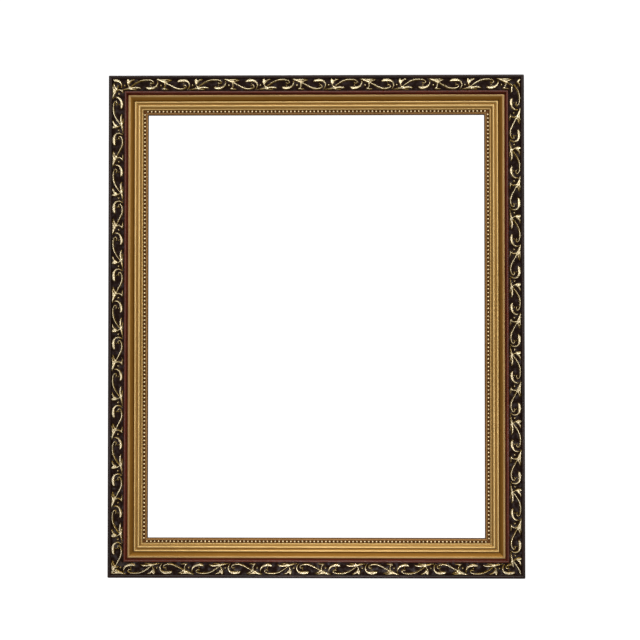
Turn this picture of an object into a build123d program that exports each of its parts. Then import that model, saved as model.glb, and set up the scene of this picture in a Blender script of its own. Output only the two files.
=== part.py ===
# An ornate gilded picture frame. Four sticks of one moulding are mitred and nailed at the corners, pressed
# scroll strips and pearl beading are glued into their channels, and the back carries two strap hangers with
# swinging rings and six turn buttons.
#
# Millimetres. Seen from the front, X runs to the right and Z up. The wall side of the rails is the plane
# y = 0 and the face looks towards -Y. The origin is the middle of the picture opening in that plane.
# Round the frame the ornament flows clockwise, seen from the front.
from build123d import *
import os
from math import hypot

os.makedirs("parts", exist_ok=True)

# The picture that the rebate takes, and how far the sight lip laps over its edge
picture_width = 400.0
picture_height = 500.0
rebate_lap = 5.0

# Moulding: widths across the face, from the outer edge to the sight edge
lip_width = 4.0
band_width = 14.3
bead_width = 2.3
quirk_width = 1.6
fillet_width = 2.6
splay_width = 4.2
reed_width = 2.6
groove_width = 1.6
wide_reed_width = 3.0
slope_width = 1.5
thread_width = 1.1
margin_width = 0.5
pearl_channel_width = 3.2
sight_lip_width = 2.5

# Moulding: heights and drops of its members, from the front of the lip towards the wall
moulding_depth = 25.0
lip_shoulder_drop = 2.0
ground_drop = 2.5
bead_seat_drop = 2.7
quirk_drop = 6.0
fillet_rise = 1.0
fillet_crown = 0.45
splay_fall = 3.4
splay_crown = 0.25
reed_crown = 1.0
groove_hollow = 0.3
wide_reed_crown = 1.2
slope_fall = 1.2
thread_crown = 0.45
margin_fall = 0.3
pearl_channel_depth = 1.1
sight_lip_fall = 1.6
sight_lip_crown = 0.5
ledge_thickness = 2.4
corner_radius = 1.8

# Scroll strips: the ground, the relief on it, and how its two leaf clusters repeat
strip_thickness = 1.0
relief_height = 1.7
strip_side_gap = 0.05
ornament_width = 13.2
cluster_pitch = 39.35
scroll_starts = {"top": -18.6, "right": -5.6, "bottom": -7.4, "left": 35.9}

# Pearl beading: short oval pearls on a thin half-round core
pearl_diameter = 3.0
pearl_length = 2.3
pearl_pitch = 4.5
pearl_core_diameter = 1.2
pearl_end_gap = 0.1

# Corner wedges: right-angled steel wedges driven into the back across each mitre
nail_leg = 5.0
nail_gauge = 0.6
nail_height = 10.0
nail_sink = 0.2
nail_gap = 0.05
nail_insets = (11.0, 26.0)

# Screws
screw_shank_radius = 1.5
screw_head_radius = 3.1
screw_head_height = 2.0
screw_rim_height = 0.7
screw_length = 11.0
screw_point_length = 2.5
screw_gap = 0.05
recess_span = 3.2
recess_width = 0.7
recess_depth = 1.0

# Strap hangers and their rings
hanger_drop = 190.0
hanger_barrel_inset = 23.0
strap_length = 16.0
strap_width = 9.5
strap_sheet = 0.8
strap_end_radius = 3.0
strap_screw_setback = 10.5
ring_wire_radius = 1.1
ring_bar_half = 6.5
ring_corner_radius = 2.5
ring_side_length = 2.5
ring_bow_radius = 9.0
ring_gap = 0.06

# Turn buttons
button_inset = 33.0
button_reach = 15.0
button_pivot_radius = 4.5
button_tip_radius = 2.8
button_thickness = 1.0
button_edge_radius = 0.25
button_gap = 0.2
button_bore_gap = 0.08
side_button_spacing = 280.0

# The moulding's members in order, and the running distance of each from the outer edge
member_widths = (
    lip_width,
    band_width,
    bead_width,
    quirk_width,
    fillet_width,
    splay_width,
    reed_width,
    groove_width,
    wide_reed_width,
    slope_width,
    thread_width,
    margin_width,
    pearl_channel_width,
    sight_lip_width,
)
rail_width = sum(member_widths)
overall_width = picture_width + 2 * (rail_width - rebate_lap)
overall_height = picture_height + 2 * (rail_width - rebate_lap)

# Levels above the wall plane
ground_level = moulding_depth - ground_drop
channel_level = ground_level - strip_thickness
bead_level = moulding_depth - bead_seat_drop
quirk_level = moulding_depth - quirk_drop
fillet_level = quirk_level + fillet_rise
reed_level = fillet_level - splay_fall
thread_level = reed_level - slope_fall
margin_level = thread_level - margin_fall
pearl_level = margin_level - pearl_channel_depth
sight_edge_level = margin_level - sight_lip_fall
rebate_depth = sight_edge_level - ledge_thickness

front = Vector(0, -1, 0)
back = Vector(0, 1, 0)
flows = {
    "top": Vector(1, 0, 0),
    "right": Vector(0, 0, -1),
    "bottom": Vector(-1, 0, 0),
    "left": Vector(0, 0, 1),
}
outwards = {
    "top": Vector(0, 0, 1),
    "right": Vector(1, 0, 0),
    "bottom": Vector(0, 0, -1),
    "left": Vector(-1, 0, 0),
}
corners = {
    "top_left": (-1, 1),
    "top_right": (1, 1),
    "bottom_left": (-1, -1),
    "bottom_right": (1, -1),
}


def side_length(side):
    """The outer length of a rail."""
    return overall_width if side in ("top", "bottom") else overall_height


def side_reach(side):
    """How far a rail's outer edge is from the middle of the frame."""
    return overall_height / 2 if side in ("top", "bottom") else overall_width / 2


def face_plane(side, inset=0.0, level=0.0):
    """Parallel to the wall, with x along the flow and y outwards, at an inset from the rail's outer edge."""
    middle = outwards[side] * (side_reach(side) - inset) + front * level
    return Plane(origin=middle, x_dir=flows[side], z_dir=front)


def section_plane(side):
    """Square to the rail at its middle, with x inwards from the outer edge and y towards the front."""
    middle = outwards[side] * side_reach(side)
    return Plane(origin=middle, x_dir=outwards[side] * -1, z_dir=flows[side] * -1)


def finish(builder, label):
    """Names a finished piece and writes it."""
    builder.part.label = label
    export_step(builder.part, f"parts/{label}.step")
    print(label, len(builder.part.solids()), round(builder.part.volume, 1))


# Rails

def crown(start, end, rise):
    """A member's curved face from one arris to the next, rising above or hollowed below its chord."""
    middle = ((start[0] + end[0]) / 2, (start[1] + end[1]) / 2 + rise)
    return ThreePointArc(start, middle, end)


def moulding_outline():
    """The section of the stick: distance from the outer edge, height above the wall."""
    lip_level = moulding_depth - lip_shoulder_drop
    edges = [0.0]
    for width in member_widths:
        edges.append(edges[-1] + width)
    outer, lip, band, bead, quirk, fillet, splay = edges[:7]
    reed, groove, wide_reed, slope, thread, margin, channel, sight = edges[7:]
    rebate = sight - rebate_lap
    crown((outer, lip_level), (lip, lip_level), lip_shoulder_drop)
    Polyline((lip, lip_level), (lip, channel_level), (band, channel_level), (band, bead_level))
    crown((band, bead_level), (bead, bead_level), bead_width / 2)
    Polyline((bead, bead_level), (bead, quirk_level), (quirk, quirk_level), (quirk, fillet_level))
    crown((quirk, fillet_level), (fillet, fillet_level), fillet_crown)
    crown((fillet, fillet_level), (splay, reed_level), splay_crown)
    crown((splay, reed_level), (reed, reed_level), reed_crown)
    crown((reed, reed_level), (groove, reed_level), -groove_hollow)
    crown((groove, reed_level), (wide_reed, reed_level), wide_reed_crown)
    Line((wide_reed, reed_level), (slope, thread_level))
    crown((slope, thread_level), (thread, thread_level), thread_crown)
    Polyline((thread, thread_level), (margin, margin_level), (margin, pearl_level), (channel, pearl_level))
    Line((channel, pearl_level), (channel, margin_level))
    crown((channel, margin_level), (sight, sight_edge_level), sight_lip_crown)
    Polyline(
        (sight, sight_edge_level),
        (sight, rebate_depth),
        (rebate, rebate_depth),
        (rebate, 0),
        (outer, 0),
        (outer, lip_level),
    )


def mitred_band(side, near, far):
    """The four corners of the strip of a rail between two insets, cut at 45 degrees at both ends."""
    half = side_length(side) / 2
    return [
        (near - half, -near),
        (half - near, -near),
        (half - far, -far),
        (far - half, -far),
    ]


def nail_outline(corner, inset, gap=0.0):
    """A right-angled wedge seen from the front, its outer corner on the mitre."""
    across, up = corners[corner]
    low = inset - gap
    high = inset + nail_leg + gap
    thick = inset + nail_gauge + gap
    insets = [(low, low), (high, low), (high, thick), (thick, thick), (thick, high), (low, high)]
    return [(across * (overall_width / 2 - u), up * (overall_height / 2 - v)) for u, v in insets]


def button_pivots():
    """Where each turn button pivots, and the rail that it is on."""
    pivots = {
        "top_turn_button": ("top", 0.0),
        "bottom_turn_button": ("bottom", 0.0),
    }
    for side in ("left", "right"):
        upwards = flows[side].Z * side_button_spacing / 2
        pivots[f"upper_{side}_turn_button"] = (side, upwards)
        pivots[f"lower_{side}_turn_button"] = (side, -upwards)
    return pivots


def pivot_point(side, along):
    """A turn button's pivot in the wall plane."""
    return outwards[side] * (side_reach(side) - button_inset) + flows[side] * along


def hanger_height():
    """The height of both hangers above the middle of the frame."""
    return overall_height / 2 - hanger_drop


def hanger_screw_point(side):
    """Where a strap's screw enters the rail."""
    inset = hanger_barrel_inset - strap_screw_setback
    return outwards[side] * (side_reach(side) - inset) + Vector(0, 0, hanger_height())


def screw_points():
    """Every screw's place in the wall plane, by the rail that it enters."""
    points = {side: [] for side in flows}
    for side, along in button_pivots().values():
        points[side].append(pivot_point(side, along))
    for side in ("left", "right"):
        points[side].append(hanger_screw_point(side))
    return points


for side in flows:
    with BuildPart() as rail:
        with BuildSketch(section_plane(side)):
            with BuildLine():
                moulding_outline()
            make_face()
        extrude(amount=side_length(side) / 2, both=True)
        with BuildSketch(Plane.XZ):
            RectangleRounded(overall_width, overall_height, corner_radius)
        extrude(amount=moulding_depth, mode=Mode.INTERSECT)
        with BuildSketch(face_plane(side)):
            with BuildLine():
                Polyline(*mitred_band(side, 0.0, rail_width), close=True)
            make_face()
        extrude(amount=moulding_depth, mode=Mode.INTERSECT)
        with BuildSketch(Plane.XZ):
            for corner in corners:
                if side in corner:
                    for inset in nail_insets:
                        with BuildLine():
                            Polyline(*nail_outline(corner, inset, nail_gap), close=True)
                        make_face()
        extrude(amount=nail_sink + nail_height + nail_gap, mode=Mode.SUBTRACT)
        with Locations(*[Plane(origin=point, z_dir=back) for point in screw_points()[side]]):
            Hole(screw_shank_radius + screw_gap, depth=screw_length)
    finish(rail, f"{side}_rail")


# Corner wedges

for corner in corners:
    with BuildPart() as nails:
        with BuildSketch(Plane.XZ.offset(nail_sink)):
            for inset in nail_insets:
                with BuildLine():
                    Polyline(*nail_outline(corner, inset), close=True)
                make_face()
        extrude(amount=nail_height)
    finish(nails, f"{corner}_v_nails")


# Scroll strips
# The ornament alternates two clusters, one rooted at the outer side of the band and one at the inner side.
# Each stroke is a list of places: the share of the cluster pitch along the flow, the share of the ornament
# across it from its outer side, and the stroke's width as a share of the ornament. Dots give their radius.

outer_cluster_shares = {
    "stem": [
        (0.06, 0.40, 0.10),
        (0.13, 0.50, 0.15),
        (0.21, 0.62, 0.18),
        (0.29, 0.75, 0.195),
        (0.38, 0.86, 0.20),
        (0.47, 0.905, 0.19),
        (0.56, 0.885, 0.17),
        (0.63, 0.80, 0.15),
        (0.655, 0.69, 0.14),
        (0.635, 0.60, 0.13),
        (0.59, 0.575, 0.12),
        (0.57, 0.63, 0.10),
    ],
    "comma": [
        (0.41, 0.24, 0.14),
        (0.45, 0.19, 0.25),
        (0.51, 0.165, 0.29),
        (0.59, 0.155, 0.29),
        (0.67, 0.21, 0.23),
        (0.728, 0.36, 0.17),
        (0.75, 0.60, 0.13),
        (0.722, 0.84, 0.09),
        (0.69, 0.95, 0.04),
    ],
    "wing": [
        (-0.24, 0.04, 0.05),
        (-0.16, 0.09, 0.16),
        (-0.08, 0.155, 0.27),
        (0.00, 0.23, 0.36),
        (0.07, 0.36, 0.22),
    ],
    "upper_lobe": [
        (-0.05, 0.125, 0.22),
        (0.04, 0.115, 0.20),
        (0.12, 0.08, 0.14),
        (0.17, 0.055, 0.06),
    ],
    "lower_lobe": [(0.05, 0.31, 0.16), (0.11, 0.24, 0.17), (0.17, 0.165, 0.14), (0.22, 0.11, 0.07)],
    "neck": [
        (0.02, 0.36, 0.22),
        (0.03, 0.50, 0.18),
        (0.03, 0.64, 0.16),
        (0.015, 0.76, 0.16),
        (-0.005, 0.86, 0.20),
    ],
    "toe": [(-0.035, 0.90, 0.16), (0.03, 0.92, 0.15), (0.09, 0.93, 0.11), (0.14, 0.94, 0.05)],
}
outer_dot_shares = [(-0.09, 0.59, 0.10), (0.575, 0.44, 0.05)]
inner_cluster_shares = {
    "stem": [
        (0.01, 0.73, 0.11),
        (0.06, 0.61, 0.14),
        (0.13, 0.46, 0.16),
        (0.235, 0.27, 0.175),
        (0.35, 0.145, 0.19),
        (0.47, 0.105, 0.185),
        (0.59, 0.125, 0.165),
        (0.665, 0.205, 0.15),
        (0.69, 0.315, 0.14),
        (0.668, 0.40, 0.13),
        (0.62, 0.425, 0.12),
        (0.59, 0.375, 0.10),
    ],
    "comma": [
        (0.49, 0.77, 0.14),
        (0.53, 0.825, 0.23),
        (0.60, 0.84, 0.28),
        (0.69, 0.79, 0.24),
        (0.77, 0.65, 0.18),
        (0.812, 0.43, 0.13),
        (0.81, 0.21, 0.06),
    ],
    "long_tail": [
        (0.03, 0.76, 0.16),
        (-0.05, 0.82, 0.15),
        (-0.13, 0.89, 0.12),
        (-0.25, 0.96, 0.05),
    ],
    "short_tail": [(0.03, 0.82, 0.14), (-0.04, 0.89, 0.11), (-0.16, 0.97, 0.04)],
    "neck": [(0.00, 0.80, 0.16), (-0.03, 0.66, 0.14), (-0.05, 0.54, 0.16), (-0.055, 0.43, 0.24)],
    "left_tip": [
        (-0.055, 0.42, 0.26),
        (-0.055, 0.31, 0.33),
        (-0.058, 0.20, 0.33),
        (-0.065, 0.115, 0.24),
        (-0.08, 0.05, 0.10),
    ],
    "right_tip": [
        (-0.03, 0.36, 0.20),
        (0.00, 0.24, 0.19),
        (0.035, 0.155, 0.17),
        (0.08, 0.10, 0.13),
        (0.13, 0.07, 0.06),
    ],
    "upper_leaf": [
        (-0.01, 0.82, 0.15),
        (0.08, 0.79, 0.17),
        (0.17, 0.77, 0.18),
        (0.25, 0.79, 0.15),
        (0.31, 0.84, 0.07),
    ],
    "lower_leaf": [(0.00, 0.90, 0.14), (0.09, 0.93, 0.12), (0.19, 0.96, 0.06)],
}
inner_dot_shares = [(-0.16, 0.58, 0.10), (0.605, 0.60, 0.06)]


def band_point(along_share, across_share):
    """A place of the ornament, from the cluster's root and the ornament's middle line."""
    return Vector(along_share * cluster_pitch, (1 / 2 - across_share) * ornament_width)


def stroke_outline(shares):
    """The outline of a tapering ribbon of relief that follows its places."""
    spots = [band_point(along, across) for along, across, _ in shares]
    left, right = [], []
    for i, (spot, (_, _, width_share)) in enumerate(zip(spots, shares)):
        run = spots[min(i + 1, len(spots) - 1)] - spots[max(i - 1, 0)]
        scale = width_share * ornament_width / 2 / hypot(run.X, run.Y)
        left.append(Vector(spot.X - run.Y * scale, spot.Y + run.X * scale))
        right.append(Vector(spot.X + run.Y * scale, spot.Y - run.X * scale))
    Spline(*left)
    Line(left[-1], right[-1])
    Spline(*reversed(right))
    Line(right[0], left[0])


def cluster_sketch(stroke_shares, dot_shares):
    """One cluster of the ornament, with its root at x = 0 and the ornament's middle line at y = 0."""
    with BuildSketch(Plane.XY) as cluster:
        for shares in stroke_shares.values():
            with BuildLine():
                stroke_outline(shares)
            make_face()
        for along, across, radius_share in dot_shares:
            with Locations(band_point(along, across)):
                Circle(radius_share * ornament_width)
    return cluster.sketch


outer_cluster = cluster_sketch(outer_cluster_shares, outer_dot_shares)
inner_cluster = cluster_sketch(inner_cluster_shares, inner_dot_shares)


def cluster_places(side, first):
    """Where one kind of cluster stands along a rail, past both of its ends."""
    period = 2 * cluster_pitch
    turns = int(side_length(side) / 2 / period) + 2
    places = [first + turn * period for turn in range(-turns, turns + 1)]
    return [place for place in places if abs(place) < side_length(side) / 2 + cluster_pitch]


for side in flows:
    strip_start = lip_width + strip_side_gap
    strip_end = lip_width + band_width - strip_side_gap
    strip_outline = mitred_band(side, strip_start, strip_end)
    ornament_middle = lip_width + ornament_width / 2
    with BuildPart() as strip:
        with BuildSketch(face_plane(side, level=channel_level)):
            with BuildLine():
                Polyline(*strip_outline, close=True)
            make_face()
        extrude(amount=strip_thickness)
        with BuildSketch(face_plane(side, level=ground_level)):
            outer_first = scroll_starts[side]
            with Locations(*[(x, -ornament_middle) for x in cluster_places(side, outer_first)]):
                add(outer_cluster)
            inner_first = outer_first + cluster_pitch
            with Locations(*[(x, -ornament_middle) for x in cluster_places(side, inner_first)]):
                add(inner_cluster)
            with BuildLine():
                Polyline(*strip_outline, close=True)
            make_face(mode=Mode.INTERSECT)
        extrude(amount=relief_height)
    finish(strip, f"{side}_scroll_strip")


# Pearl beading

def pearl_outline(count):
    """Half of the beading's plan: a row of pearls on a thinner core, above its own middle line."""
    pearl = pearl_diameter / 2
    core = pearl_core_diameter / 2
    reach = pearl_length / 2
    centres = [(i - (count - 1) / 2) * pearl_pitch for i in range(count)]
    start = centres[0] - reach
    end = centres[-1] + reach
    Line((start, 0), (start, core))
    for i, centre in enumerate(centres):
        if i:
            Line((centres[i - 1] + reach, core), (centre - reach, core))
        ThreePointArc((centre - reach, core), (centre, pearl), (centre + reach, core))
    Line((end, core), (end, 0))
    Line((end, 0), (start, 0))


for side in flows:
    pearl_inset = rail_width - sight_lip_width - pearl_channel_width / 2
    mitre_reach = side_length(side) / 2 - pearl_inset
    last_centre = mitre_reach - pearl_diameter / 2 * 2**0.5 - pearl_end_gap
    pearl_count = int(2 * last_centre / pearl_pitch) + 1
    pearl_plane = face_plane(side, pearl_inset, pearl_level)
    with BuildPart() as pearls:
        with BuildSketch(pearl_plane):
            with BuildLine():
                pearl_outline(pearl_count)
            make_face()
        revolve(axis=Axis(pearl_plane.origin, pearl_plane.x_dir), revolution_arc=180)
    finish(pearls, f"{side}_pearl_strip")
    print(side, "pearls:", pearl_count)


# Screws

def screw_outline():
    """Half of a pan-head screw's section: radius, and height above the underside of its head."""
    rounding = screw_head_height - screw_rim_height
    flat = screw_head_radius - rounding
    bend = rounding / 2**0.5
    Polyline(
        (flat, screw_head_height),
        (0, screw_head_height),
        (0, -screw_length),
        (screw_shank_radius, screw_point_length - screw_length),
        (screw_shank_radius, 0),
        (screw_head_radius, 0),
        (screw_head_radius, screw_rim_height),
    )
    rim = (screw_head_radius, screw_rim_height)
    ThreePointArc(rim, (flat + bend, screw_rim_height + bend), (flat, screw_head_height))


screw_seats = {
    "hanger_screws": [hanger_screw_point(side) + back * (2 * strap_sheet) for side in ("left", "right")],
    "button_screws": [
        pivot_point(side, along) + back * (button_thickness + 2 * button_gap)
        for side, along in button_pivots().values()
    ],
}

for name, seats in screw_seats.items():
    with BuildPart() as screws:
        for seat in seats:
            with BuildSketch(Plane(origin=seat, x_dir=(1, 0, 0), z_dir=(0, 0, 1))):
                with BuildLine():
                    screw_outline()
                make_face()
            revolve(axis=Axis(seat, back))
            with BuildSketch(Plane(origin=seat + back * screw_head_height, z_dir=back)):
                Rectangle(recess_span, recess_width)
                Rectangle(recess_width, recess_span)
            extrude(amount=-recess_depth, mode=Mode.SUBTRACT)
    finish(screws, name)


# Strap hangers

barrel_bore = ring_wire_radius + ring_gap
barrel_radius = barrel_bore + strap_sheet


def barrel_point(side):
    """The middle of the barrel that the ring swings in."""
    return outwards[side] * (side_reach(side) - hanger_barrel_inset) + back * barrel_radius


for side in ("left", "right"):
    barrel = barrel_point(side)
    across = outwards[side].X
    with BuildPart() as strap:
        with BuildSketch(Plane.XY.offset(hanger_height())):
            with Locations((barrel.X + across * strap_length / 2, strap_sheet)):
                Rectangle(strap_length, 2 * strap_sheet)
            with Locations((barrel.X, barrel.Y)):
                Circle(barrel_radius)
                Circle(barrel_bore, mode=Mode.SUBTRACT)
        extrude(amount=strap_width / 2, both=True)
        end_edges = strap.edges().filter_by(Axis.Y).group_by(Axis.X)
        fillet(end_edges[0 if across < 0 else -1], strap_end_radius)
        top_of_strap = hanger_screw_point(side) + back * (2 * strap_sheet)
        with Locations(Plane(origin=top_of_strap, z_dir=back)):
            Hole(screw_shank_radius + screw_gap)
    finish(strap, f"{side}_hanger_strap")


# Rings

def ring_path(inwards):
    """The middle line of a D-shaped ring: a bar, two short sides and a round bow that points inwards."""
    bend = ring_corner_radius * (1 - 1 / 2**0.5)
    side_x = inwards * ring_corner_radius
    bow_x = inwards * (ring_corner_radius + ring_side_length)
    wide = ring_bar_half + ring_corner_radius
    Line((0, -ring_bar_half), (0, ring_bar_half))
    ThreePointArc((0, ring_bar_half), (inwards * bend, wide - bend), (side_x, wide))
    Line((side_x, wide), (bow_x, wide))
    ThreePointArc((bow_x, wide), (bow_x + inwards * ring_bow_radius, 0), (bow_x, -wide))
    Line((bow_x, -wide), (side_x, -wide))
    ThreePointArc((side_x, -wide), (inwards * bend, bend - wide), (0, -ring_bar_half))


for side in ("left", "right"):
    barrel = barrel_point(side)
    ring_middle = Vector(barrel.X, barrel.Y, hanger_height())
    with BuildPart() as ring:
        with BuildLine(Plane(origin=ring_middle, x_dir=(1, 0, 0), z_dir=front)) as ring_line:
            ring_path(-outwards[side].X)
        with BuildSketch(Plane(origin=ring_middle, x_dir=(1, 0, 0), z_dir=(0, 0, 1))):
            Circle(ring_wire_radius)
        sweep(path=ring_line.wires()[0])
    finish(ring, f"{side}_d_ring")


# Turn buttons

for name, (side, along) in button_pivots().items():
    seat = pivot_point(side, along) + back * button_gap
    with BuildPart() as button:
        with BuildSketch(Plane(origin=seat, x_dir=flows[side], z_dir=back)):
            Circle(button_pivot_radius)
            with Locations((button_reach, 0)):
                Circle(button_tip_radius)
            make_hull()
        extrude(amount=button_thickness)
        fillet(button.faces().sort_by(Axis.Y)[-1].edges(), button_edge_radius)
        with Locations(Plane(origin=seat + back * button_thickness, z_dir=back)):
            Hole(screw_shank_radius + button_bore_gap)
    finish(button, name)
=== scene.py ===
# %% [markdown]
# # An ornate gilded picture frame
# The real frame is four sticks of one moulding, mitred and nailed together. A band of pressed scrolls and a row of
# small pearls are glued into channels that run along each stick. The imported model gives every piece's place, so the
# lesson starts by loading it and never moves anything in it.

import math

import bmesh
import bpy
import numpy as np
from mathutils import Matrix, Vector


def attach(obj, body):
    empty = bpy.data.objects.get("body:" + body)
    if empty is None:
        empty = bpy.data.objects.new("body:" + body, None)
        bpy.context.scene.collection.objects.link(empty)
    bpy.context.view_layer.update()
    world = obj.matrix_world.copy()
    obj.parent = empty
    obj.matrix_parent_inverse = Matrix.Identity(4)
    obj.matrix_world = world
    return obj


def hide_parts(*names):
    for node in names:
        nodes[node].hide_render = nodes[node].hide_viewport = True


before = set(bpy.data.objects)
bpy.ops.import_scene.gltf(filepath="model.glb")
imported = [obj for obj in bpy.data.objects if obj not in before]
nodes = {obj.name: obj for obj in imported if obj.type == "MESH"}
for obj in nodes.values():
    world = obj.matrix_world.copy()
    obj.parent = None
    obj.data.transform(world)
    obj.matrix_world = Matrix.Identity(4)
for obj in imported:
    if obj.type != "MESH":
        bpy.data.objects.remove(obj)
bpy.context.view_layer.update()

# %% [markdown]
# ## The stick and its four sides
# A frame maker thinks along the stick: how far along it, how far in from its outer edge, and how high above the wall.
# Working in those three measures lets one routine shape all four rails. Everything below is in millimetres until
# `stick_to_world` turns it into metres.

# %% Stick measures
MM = 0.001
overall_width = 480.0
overall_height = 580.0
flows = {"top": (1, 0, 0), "right": (0, 0, -1), "bottom": (-1, 0, 0), "left": (0, 0, 1)}
outwards = {"top": (0, 0, 1), "right": (1, 0, 0), "bottom": (0, 0, -1), "left": (-1, 0, 0)}
front = np.array((0.0, -1.0, 0.0))


def rail_length(side):
    return overall_width if side in ("top", "bottom") else overall_height


def rail_reach(side):
    """How far a rail's outer edge is from the middle of the opening."""
    return (overall_height if side in ("top", "bottom") else overall_width) / 2


def stick_to_world(side, along, inset, level):
    along, inset, level = (np.asarray(v, float)[..., None] for v in (along, inset, level))
    flow, outward = np.array(flows[side], float), np.array(outwards[side], float)
    return (flow * along + outward * (rail_reach(side) - inset) + front * level) * MM


def mark_stick(mesh, side):
    """Writes each point's place along, across and above the stick, for the materials to follow."""
    points = np.empty(len(mesh.vertices) * 3)
    mesh.vertices.foreach_get("co", points)
    points = points.reshape(-1, 3)
    flow, outward = np.array(flows[side], float), np.array(outwards[side], float)
    stick = np.stack([points @ flow, rail_reach(side) * MM - points @ outward, points @ front], axis=1)
    attribute = mesh.attributes.new("stick", "FLOAT_VECTOR", "POINT")
    attribute.data.foreach_set("vector", stick.ravel())


print("sticks:", {side: rail_length(side) for side in flows})

# %% [markdown]
# ## Colours
# Paint colours are easiest to judge as they look on a screen, 0 to 255. Shaders mix light, so each colour goes
# through the usual screen curve first.


# %% Colour helper
def shade(red, green, blue):
    def light(value):
        value /= 255
        return value / 12.92 if value <= 0.04045 else ((value + 0.055) / 1.055) ** 2.4

    return (light(red), light(green), light(blue), 1.0)


def values(node, **settings):
    """Sets a node's inputs by name: an underscore in a setting stands for a space."""
    for name, value in settings.items():
        node.inputs[name.replace("_", " ")].default_value = value
    return node


print("a mid gold in light values:", [round(v, 3) for v in shade(190, 160, 100)])

# %% [markdown]
# ## Effects that several finishes share
# Streaks from the brush or the plane run along the stick. Handling wears the arrises. Bronze powder and leaf both
# glint in tiny flakes. Lacquer dries in slow waves, and the ground of the band is punched. Each of these is a small
# node group with named inputs, built once and then placed in every material that needs it, so that the whole frame
# ages in the same way.


# %% A helper that starts a node group
def start_group(name, inputs, outputs):
    group = bpy.data.node_groups.new(name, "ShaderNodeTree")
    for title, kind, value in inputs:
        socket = group.interface.new_socket(title, in_out="INPUT", socket_type=kind)
        socket.default_value = value
    for title, kind in outputs:
        group.interface.new_socket(title, in_out="OUTPUT", socket_type=kind)
    return group, group.nodes.new("NodeGroupInput"), group.nodes.new("NodeGroupOutput")


def add_math(tree, operation, first, second=None, third=None, clamp=False):
    """Adds one step of arithmetic. Each term is a number or another node's output."""
    node = tree.nodes.new("ShaderNodeMath")
    node.operation = operation
    node.use_clamp = clamp
    for socket, term in zip(node.inputs, (first, second, third)):
        if isinstance(term, (int, float)):
            socket.default_value = term
        elif term is not None:
            tree.links.new(term, socket)
    return node.outputs[0]


def add_step(tree, value, low, high):
    """Adds a soft step from 0 to 1 as the value goes from low to high."""
    node = tree.nodes.new("ShaderNodeMapRange")
    node.interpolation_type = "SMOOTHSTEP"
    values(node, From_Min=low, From_Max=high)
    tree.links.new(value, node.inputs["Value"])
    return node.outputs["Result"]


def add_noise(tree, place, scale, detail=2.0, roughness=0.5):
    node = tree.nodes.new("ShaderNodeTexNoise")
    values(node, Detail=detail, Roughness=roughness)
    if isinstance(scale, (int, float)):
        node.inputs["Scale"].default_value = scale
    else:
        tree.links.new(scale, node.inputs["Scale"])
    tree.links.new(place, node.inputs["Vector"])
    return node.outputs["Fac"]


def add_blend(tree, mask, first, second):
    """Adds a colour mix. Each colour is a tuple or another node's output."""
    node = tree.nodes.new("ShaderNodeMix")
    node.data_type = "RGBA"
    node.clamp_factor = True
    for socket, term in zip((node.inputs[0], node.inputs[6], node.inputs[7]), (mask, first, second)):
        if isinstance(term, (tuple, int, float)):
            socket.default_value = term
        else:
            tree.links.new(term, socket)
    return node.outputs[2]


print("group helpers ready")

# %% [markdown]
# ### Streaks along the stick
# Moulding is pushed through the cutters and the colour is wiped on lengthwise, so every mark on it is long and thin.
# A noise stretched many times over along the stick gives both brush marks and wood grain.

# %% Streaks group
streaks, entry, leave = start_group(
    "Streaks along the stick",
    [("Fineness", "NodeSocketFloat", 900.0), ("Length", "NodeSocketFloat", 0.02)],
    [("Streaks", "NodeSocketFloat")],
)
stick_place = streaks.nodes.new("ShaderNodeAttribute")
stick_place.attribute_name = "stick"
parts = streaks.nodes.new("ShaderNodeSeparateXYZ")
streaks.links.new(stick_place.outputs["Vector"], parts.inputs[0])
long_way = add_math(streaks, "MULTIPLY", parts.outputs["X"], entry.outputs["Length"])
joined = streaks.nodes.new("ShaderNodeCombineXYZ")
streaks.links.new(long_way, joined.inputs["X"])
streaks.links.new(parts.outputs["Y"], joined.inputs["Y"])
streaks.links.new(parts.outputs["Z"], joined.inputs["Z"])
lines = add_noise(streaks, joined.outputs[0], entry.outputs["Fineness"], detail=4.0, roughness=0.6)
streaks.links.new(lines, leave.inputs[0])
print("made:", streaks.name)

# %% [markdown]
# ### Worn arrises
# Sharp edges lose their finish first, and never evenly. The render engine knows how pointed the surface is at each
# spot; a noise breaks that up into worn patches.

# %% Wear group
wear, entry, leave = start_group(
    "Worn arrises",
    [("Amount", "NodeSocketFloat", 0.5), ("Patch size", "NodeSocketFloat", 160.0)],
    [("Wear", "NodeSocketFloat")],
)
pointed = add_step(wear, wear.nodes.new("ShaderNodeNewGeometry").outputs["Pointiness"], 0.52, 0.62)
here = wear.nodes.new("ShaderNodeTexCoord").outputs["Object"]
uneven = add_noise(wear, here, entry.outputs["Patch size"], detail=5.0, roughness=0.65)
patches = add_step(wear, uneven, 0.42, 0.62)
worn = add_math(wear, "MULTIPLY", pointed, patches)
wear.links.new(add_math(wear, "MULTIPLY", worn, entry.outputs["Amount"], clamp=True), leave.inputs[0])
print("made:", wear.name)

# %% [markdown]
# ### Glinting flakes
# Bronze powder lies in the paint as flat flakes at slightly different angles, and gold leaf wrinkles in much the
# same way. A fine cell pattern gives each flake its own brightness.

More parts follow.
